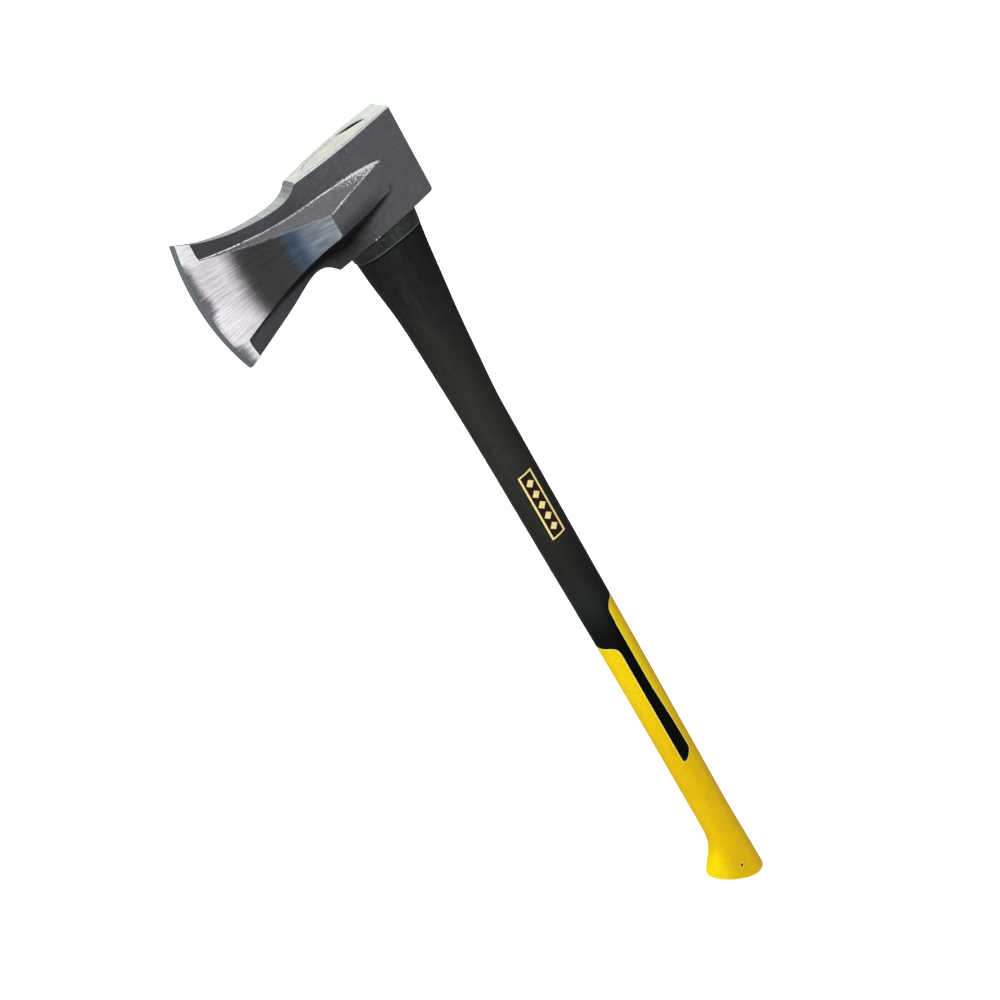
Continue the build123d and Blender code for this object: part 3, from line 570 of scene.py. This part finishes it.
def grip_rim_material():
    """The rounded lips of the overmould, with a paler painted highlight along them where they close on the jacket."""
    g = Graph("grip_rim")
    fine = g.noise(g.p, 1.3, 4, 0.65)
    long = g.noise(g.vec(g.x * 0.3, g.y * 0.3, g.z * 0.08), 1.0, 3, 0.6)
    colour = g.mix(g.step(long, 0.25, 0.65), lin(250, 222, 92), lin(255, 238, 140))
    dx, dz = g.x + 8.0, g.z - 31.0
    near = g.math("SQRT", dx * dx + dz * dz)
    # painted shade: the rounded rim inside the small hole near black
    colour = g.mix(g.step(near, 1.9, 1.5) * g.step(g.y, 0.0, -4.0), g.tint(colour, 0.86 + 0.22 * fine), lin(22, 12, 5))
    return g.done(colour, g.clip(0.5 + 0.15 * fine), 0.0, g.bump(fine, 0.05, 0.4), spec=0.12)


def fibre_material():
    g = Graph("fibreglass")
    strands = g.noise(g.vec(g.x * 0.05, g.y * 0.8, g.z * 0.2), 1.0, 5, 0.8)
    ends = g.cells(g.vec(g.x * 0.8, g.y * 2.2, g.z * 0.4), 1.0)
    fine = g.noise(g.p, 2.0, 3, 0.6)
    line = g.step(g.noise(g.vec(g.x * 0.03, g.y * 0.8, 8.0), 1.0, 2, 0.45), 0.34, 0.66)
    colour = g.tint(g.mix(line, lin(196, 197, 180), lin(214, 217, 208)), 0.40 + 0.96 * strands + 0.14 * fine + 0.10 * ends)
    return g.done(colour, g.clip(0.5 + 0.2 * fine), 0.0, g.bump(0.6 * strands + 0.4 * ends, 0.08, 0.5), spec=0.4)


def resin_material():
    g = Graph("resin")
    cloud = g.noise(g.p, 0.12, 4, 0.6)
    lines = g.noise(g.vec(g.x * 0.05, g.y * 0.7, g.z * 0.2), 1.0, 5, 0.8)
    fine = g.noise(g.p, 1.4, 3, 0.6)
    line = g.step(g.noise(g.vec(g.x * 0.03, g.y * 0.8, 9.0), 1.0, 2, 0.45), 0.34, 0.66)
    colour = g.tint(g.mix(g.step(g.x, -4.0, 16.0), lin(194, 197, 190), lin(206, 207, 192)), 0.40 + 0.24 * cloud + 0.66 * lines + 0.14 * fine + 0.16 * line)
    # painted shade: the resin's sides below the top are near black, in the gap along the eye wall
    deep = g.step(g.z, 913.1, 912.2)
    colour = g.mix(deep, colour, lin(20, 19, 17))
    return g.done(colour, g.clip(0.42 + 0.2 * fine), 0.0, g.bump(0.6 * lines + 0.4 * fine, 0.06, 0.5), spec=0.42)


def label_material(x0, x1, z0, z1):
    """Printed film: a plain gold border and a row of lozenges on dark brown. It carries no words."""
    g = Graph("label_print")
    cx, cz = (x0 + x1) / 2, (z0 + z1) / 2
    hx, hz = (x1 - x0) / 2 - 0.9, (z1 - z0) / 2 - 1.0
    dx, dz = g.abs(g.x - cx), g.abs(g.z - cz)
    outside = g.max(dx - hx, dz - hz)
    border = g.step(g.abs(outside + 0.85), 0.98, 0.74)
    pitch = 12.6
    cell = g.math("PINGPONG", g.z - cz + pitch / 2, pitch / 2)
    lozenge = dx * 1.0 + (pitch / 2 - cell) * 0.92
    gold = g.clip(border + g.step(lozenge, 4.3, 3.9) * g.step(dz, 31.6, 31.3))
    fine = g.noise(g.p, 1.6, 3, 0.6)
    ink = g.tint(lin(30, 9, 4), 0.8 + 0.4 * fine)
    foil = g.mix(g.noise(g.p, 0.25, 2, 0.5), lin(255, 241, 178), lin(252, 224, 138))
    colour = g.mix(gold, ink, foil)
    return g.done(colour, g.clip(0.34 + 0.12 * fine), 0.0, g.bump(gold, 0.04, 0.3), spec=0.12)


# ------------------------------------------------------------------ mesh helpers
def link(mesh, name):
    ob = bpy.data.objects.new(name, mesh)
    bpy.context.scene.collection.objects.link(ob)
    return ob


def welded(node):
    """A bmesh copy of a CAD node in drawing space, with its corners joined."""
    bm = bmesh.new()
    bm.from_mesh(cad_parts[node].data)
    for layer in list(bm.loops.layers.float_vector.values()):
        bm.loops.layers.float_vector.remove(layer)
    bmesh.ops.remove_doubles(bm, verts=bm.verts, dist=2e-6)
    for v in bm.verts:
        v.co = Vector((v.co.x * 1000 + SHIFT_X, v.co.y * 1000, v.co.z * 1000 + SHIFT_Z))
    bmesh.ops.dissolve_degenerate(bm, dist=0.02, edges=bm.edges)
    bmesh.ops.recalc_face_normals(bm, faces=bm.faces)
    bm.normal_update()
    return bm


def to_object(bm, name):
    """The bmesh as an object in the shared frame, in metres."""
    for v in bm.verts:
        v.co = Vector(((v.co.x - SHIFT_X) / 1000, v.co.y / 1000, (v.co.z - SHIFT_Z) / 1000))
    mesh = bpy.data.meshes.new(name)
    bm.to_mesh(mesh)
    bm.free()
    for a in ("custom_normal", "sharp_face"):
        if a in mesh.attributes:
            mesh.attributes.remove(mesh.attributes[a])
    return link(mesh, name)


def rounded(ob, width, segments=2, slot=-1, angle=None):
    """Rounds the weighted edges, or all edges past an angle, and bakes the result into the mesh."""
    m = ob.modifiers.new("round", "BEVEL")
    m.width = width / 1000
    m.segments = segments
    m.material = slot
    m.use_clamp_overlap = True
    m.miter_outer = "MITER_ARC"
    m.loop_slide = True
    if angle is None:
        m.limit_method = "WEIGHT"
    else:
        m.limit_method, m.angle_limit = "ANGLE", math.radians(angle)
    bake(ob)


def bake(ob):
    dg = bpy.context.evaluated_depsgraph_get()
    mesh = bpy.data.meshes.new_from_object(ob.evaluated_get(dg), preserve_all_data_layers=True, depsgraph=dg)
    ob.modifiers.clear()
    ob.data = mesh


def finish_shading(ob, angle=35):
    for p in ob.data.polygons:
        p.use_smooth = True
    ob.data.set_sharp_from_angle(angle=math.radians(angle))
    m = ob.modifiers.new("weighted", "WEIGHTED_NORMAL")
    m.keep_sharp = True
    m.weight = 60


# ------------------------------------------------------------------ head
def ground_half(r):
    return float(np.interp(r, *zip(*GROUND)))


def region_of(c, n):
    """Which surface of the head a face belongs to, from its centre and normal in drawing space."""
    x, y, z = c
    ay, any_ = abs(y), abs(n.y)
    r = math.hypot(x - EDGE_C[0], z - EDGE_C[1])
    if n.z > 0.97 and z > TOP_Z - 0.3 and x > NECK_X - 1.5:
        return "top"
    if n.z > 0.5 and z > TOP_Z - 1.2 and x > NECK_X - 1.0 and any_ > 0.3:
        return "rim"
    inside = math.hypot((x - 1.9) / 32.2, y / 10.2) < 1.0 and abs(n.z) < 0.3 and ay < 9.6
    if inside:
        return "eye"
    if n.x > 0.95:
        return "poll"
    foot = at(FOOT_LOW if z < WING_Z and x > PEAK_X else FOOT, min(max(x, -144), 20))
    on_wing = -146 < x < 22 and abs(z - WING_Z) < foot + 1.2 and ay > at(CHEEK, max(x, -134)) - 0.6
    if any_ < 0.35 and not (on_wing and abs(n.z) > 0.3):
        if r > EDGE_R - 0.4 and x < -120:
            return "bevel"
        if n.z < -0.25 or z < 845:
            return "under"
        if -140 < x < -120 and abs(n.x) > 0.6 and ay < 6:
            return "stepwall"
        return "band" if x < NECK_X + 3 else "corner"
    if r > EDGE_R - BEVEL - 0.05 and x < -100:
        return "bevel"
    # ground surface of revolution
    h0, h1 = ground_half(r - 0.5), ground_half(r + 0.5)
    slope = h1 - h0
    ux, uz = (x - EDGE_C[0]) / r, (z - EDGE_C[1]) / r
    gn = Vector((-slope * ux, math.copysign(1, y), -slope * uz)).normalized()
    if abs(ay - ground_half(r)) < 0.45 and gn.dot(n) > 0.985 and x < -38:
        return "ground"
    rn = Vector((REAR_SLOPE, math.copysign(1, y), 0)).normalized()
    if abs(ay - (PEAK_HALF - REAR_SLOPE * (x - PEAK_X))) < 0.35 and rn.dot(n) > 0.99 and x > -43:
        return "rear"
    if ay > at(CHEEK, x) + 0.25 and abs(z - WING_Z) < foot + 1.5 and -146 < x < 22:
        return "flank"
    if abs(n.z) > 0.25 and abs(z - WING_Z) < foot + 1.0 and -146 < x < 21:
        return "flank"
    return "cheek"


WIDTHS = {
    ("flank", "ground"): 0.40, ("flank", "rear"): 0.95, ("ground", "rear"): 0.55, ("cheek", "flank"): 0.60,
    ("cheek", "rear"): 0.4, ("cheek", "ground"): 0.12, ("ground", "stepwall"): 0.12, ("cheek", "stepwall"): 0.12,
    ("band", "cheek"): 0.45, ("band", "ground"): 0.25, ("cheek", "under"): 0.8, ("ground", "under"): 0.3,
    ("cheek", "poll"): 1.0, ("corner", "poll"): 0.3, ("cheek", "corner"): 0.8, ("eye", "top"): 0.25, ("eye", "under"): 0.4,
    ("cheek", "rim"): 0.2, ("rim", "top"): 0.2, ("band", "top"): 0.5, ("poll", "top"): 0.6, ("corner", "top"): 0.5,
    ("poll", "rim"): 0.3, ("poll", "under"): 0.8, ("corner", "under"): 0.5, ("corner", "rim"): 0.2,
}
MOST = 1.0

def soften_peak(bm, side):
    """Takes off the sharp lower rear corner of a wing's ground face."""
    corner = Vector((-40.1, side * 29.9, 867.7))
    corner = min(bm.verts, key=lambda v: (v.co - corner).length).co.copy()
    n = Vector((-0.084, side * 0.903, -0.42)).normalized()
    place = corner - n * 0.85
    off = {v for v in bm.verts if (v.co - corner).length < 6 and (v.co - place).dot(n) > 1e-4}
    faces = {f for v in off for f in v.link_faces}
    if any((v.co - place).dot(n) > 1e-4 for f in faces for v in f.verts if v not in off):
        return
    geom = list(faces) + list({e for f in faces for e in f.edges}) + list({v for f in faces for v in f.verts})
    cut = bmesh.ops.bisect_plane(bm, geom=geom, dist=1e-4, plane_co=place, plane_no=n, clear_outer=True)
    bmesh.ops.edgeloop_fill(bm, edges=[e for e in cut["geom_cut"] if isinstance(e, bmesh.types.BMEdge)])
    bmesh.ops.recalc_face_normals(bm, faces=bm.faces)
    bm.normal_update()


bm = welded("axe_head")
for side in (-1, 1):
    soften_peak(bm, side)
label = {}
for f in bm.faces:
    label[f] = region_of(f.calc_center_median(), f.normal)
regions = sorted(set(label.values()) | {"edge"})
for f in bm.faces:
    f.material_index = regions.index(label[f])
weight = bm.edges.layers.float.new("bevel_weight_edge")
lines, kinds = [], []
for e in bm.edges:
    if len(e.link_faces) != 2:
        continue
    pair = tuple(sorted(regions[f.material_index] for f in e.link_faces))
    turn = e.calc_face_angle(0)
    if pair[0] != pair[1] and pair in WIDTHS and turn > math.radians(7):
        e[weight] = WIDTHS[pair] / MOST
    if pair[0] != pair[1]:
        a, b = e.verts[0].co, e.verts[1].co
        count = max(1, int((b - a).length / 0.5))
        for k in range(count + 1):
            lines.append(a.lerp(b, k / count))
            kinds.append(pair)
tree = KDTree(len(lines))
for i, p in enumerate(lines):
    tree.insert(p, i)
tree.balance()
head = to_object(bm, "splitting_axe_head")
for _ in regions:
    head.data.materials.append(None)
rounded(head, MOST, 3, slot=regions.index("edge"))

surfaces = {
    "cheek": paint("head_paint", (84, 83, 89)),
    "flank": flank("wing_flank_steel"),
    "rear": rear("wing_rear_paint"),
    "ground": polished("wing_ground_steel"),
    "bevel": bevel_strip("edge_bevel_steel"),
    "top": ground_flat("head_top_steel", (181, 186, 179), True),
    "rim": ground_flat("head_rim_steel", (200, 204, 200), True),
    "band": ground_flat("neck_band_steel", (152, 158, 156), False),
    "eye": eye_wall("eye_wall_steel"),
    "silver": bare_edge("worn_edge_bright", bright=(250, 250, 254), chip_level=0.42, under=(112, 111, 118),
                        along=[(-146.0, 1.0), (-96.0, 1.0), (-84.0, 0.5), (-50.0, 0.5), (-38.0, 0.95), (21.0, 1.0)]),
    "worn": bare_edge("worn_edge_patchy", bright=(252, 252, 255), chip_level=0.44, under=(112, 110, 116)),
    "painted_edge": bare_edge("worn_edge_faint", chip_level=0.66, under=(74, 73, 80)),
}
surfaces["poll"] = surfaces["corner"] = surfaces["under"] = surfaces["cheek"]
surfaces["stepwall"] = surfaces["ground"]


def edge_look(p):
    """The material of a rounded edge, from the surfaces that it joins."""
    _, i, _ = tree.find(p)
    pair, upper = kinds[i], p.z > WING_Z
    if pair == ("cheek", "flank"):
        return "silver" if upper else "cheek"
    if pair == ("flank", "ground"):
        return "ground"
    if pair == ("flank", "rear") or pair == ("cheek", "rear"):
        return "worn" if upper else "painted_edge"
    if pair == ("ground", "rear"):
        return "ground"
    if "rim" in pair or pair in (("band", "cheek"), ("band", "top"), ("poll", "top"), ("corner", "top"), ("eye", "top")):
        return "rim"
    if pair in (("cheek", "under"), ("poll", "under"), ("cheek", "poll"), ("eye", "under"), ("corner", "under")):
        return "painted_edge"
    if "ground" in pair or "stepwall" in pair:
        return "ground"
    return "painted_edge"


order = sorted(set(surfaces))
chosen = []
for p in head.data.polygons:
    name = regions[p.material_index] if p.material_index < len(regions) else "cheek"
    if name == "edge":
        c = p.center
        name = edge_look(Vector((c.x * 1000 + SHIFT_X, c.y * 1000, c.z * 1000 + SHIFT_Z)))
    chosen.append(order.index(name))
head.data.materials.clear()
for name in order:
    head.data.materials.append(surfaces[name])
head.data.polygons.foreach_set("material_index", chosen)
finish_shading(head, 32)
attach(head, "root")
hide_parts("axe_head")


# ------------------------------------------------------------------ handle parts
def dressed(node, name, material, width, angle=35, segments=2, rim=None):
    ob = to_object(welded(node), name)
    ob.data.materials.clear()
    ob.data.materials.append(material)
    if rim:
        ob.data.materials.append(rim)
    for p in ob.data.polygons:
        p.material_index = 0
    rounded(ob, width, segments, slot=1 if rim else -1, angle=angle)
    finish_shading(ob, 40)
    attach(ob, "root")
    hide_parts(node)
    return ob


jacket = dressed("handle_jacket", "moulded_jacket", jacket_material(), 0.22)
collar = dressed("eye_collar", "moulded_collar", collar_material(), 0.10)
grip = dressed("grip_overmould", "soft_grip", grip_material(), 0.50, rim=grip_rim_material())
resin = dressed("eye_resin", "cast_resin", resin_material(), 0.06)
core = dressed("fibreglass_core", "fibreglass_rod", fibre_material(), 0.15)
label_piece = dressed("handle_label", "printed_label", label_material(-10.2, 6.3, 511.0, 587.0), 0.02)

# ------------------------------------------------------------------ floor, light and camera
FLOOR_Z = cad_low.z - 0.0005


def pale_floor():
    """A plain pale floor that the camera sees as evenly lit."""
    m = bpy.data.materials.new("pale_floor")
    m.use_nodes = True
    nt = m.node_tree
    b = nt.nodes["Principled BSDF"]
    b.inputs["Base Color"].default_value = (0.82, 0.82, 0.82, 1)
    b.inputs["Roughness"].default_value = 0.9
    b.inputs["Specular IOR Level"].default_value = 0.1
    b.inputs["Emission Color"].default_value = (1, 1, 1, 1)
    seen = nt.nodes.new("ShaderNodeLightPath")
    gain = nt.nodes.new("ShaderNodeMath")
    gain.operation = "MULTIPLY"
    gain.inputs[1].default_value = 0.75
    nt.links.new(seen.outputs["Is Camera Ray"], gain.inputs[0])
    nt.links.new(gain.outputs[0], b.inputs["Emission Strength"])
    return m


bm = bmesh.new()
bmesh.ops.create_grid(bm, x_segments=8, y_segments=8, size=14)
for v in bm.verts:
    v.co.z = FLOOR_Z
mesh = bpy.data.meshes.new("studio_floor")
bm.to_mesh(mesh)
bm.free()
floor = link(mesh, "studio_floor")
floor.data.materials.append(pale_floor())

world = bpy.data.worlds.new("studio")
bpy.context.scene.world = world
world.use_nodes = True
wn = world.node_tree
back = wn.nodes["Background"]
path = wn.nodes.new("ShaderNodeLightPath")
pick = wn.nodes.new("ShaderNodeMix")
pick.data_type = "FLOAT"
pick.inputs[2].default_value = 0.24
pick.inputs[3].default_value = 1.15
wn.links.new(path.outputs["Is Camera Ray"], pick.inputs[0])
wn.links.new(pick.outputs[0], back.inputs["Strength"])
back.inputs["Color"].default_value = (1.0, 1.0, 1.0, 1)


def soft_light(name, place, target, size, watts, colour=(1, 1, 1)):
    data = bpy.data.lights.new(name, "AREA")
    data.shape = "RECTANGLE"
    data.size, data.size_y = size
    data.energy = watts
    data.color = colour
    ob = bpy.data.objects.new(name, data)
    bpy.context.scene.collection.objects.link(ob)
    ob.location = place
    ob.rotation_mode = "QUATERNION"
    ob.rotation_quaternion = (Vector(target) - Vector(place)).to_track_quat("-Z", "Y")
    return ob


soft_light("key", (-3.6, -2.6, 1.9), (-0.05, 0, -0.35), (2.2, 2.6), 118)
soft_light("over", (-0.6, -1.6, 4.4), (-0.1, 0, -0.2), (2.0, 2.0), 112)
soft_light("rear_fill", (1.6, 3.6, 2.2), (-0.05, 0, -0.4), (2.6, 2.6), 70)

cam_data = bpy.data.cameras.new("camera")
cam_data.sensor_width = 36.0
cam_data.lens = 62.2525
cam_data.clip_start, cam_data.clip_end = 0.05, 60
cam = bpy.data.objects.new("camera", cam_data)
bpy.context.scene.collection.objects.link(cam)
right = Vector((0.674582655, -0.611955357, -0.412854553))
down = Vector((-0.666022439, -0.26334691, -0.697898643))
forward = Vector((0.318358843, 0.745760716, -0.585225257))
place = Vector((-0.535445372, -1.072662088, 0.539082143))
cam.matrix_world = Matrix((
    (right.x, -down.x, -forward.x, place.x),
    (right.y, -down.y, -forward.y, place.y),
    (right.z, -down.z, -forward.z, place.z),
    (0, 0, 0, 1),
))
bpy.context.scene.camera = cam
bpy.context.scene.view_settings.view_transform = "Standard"
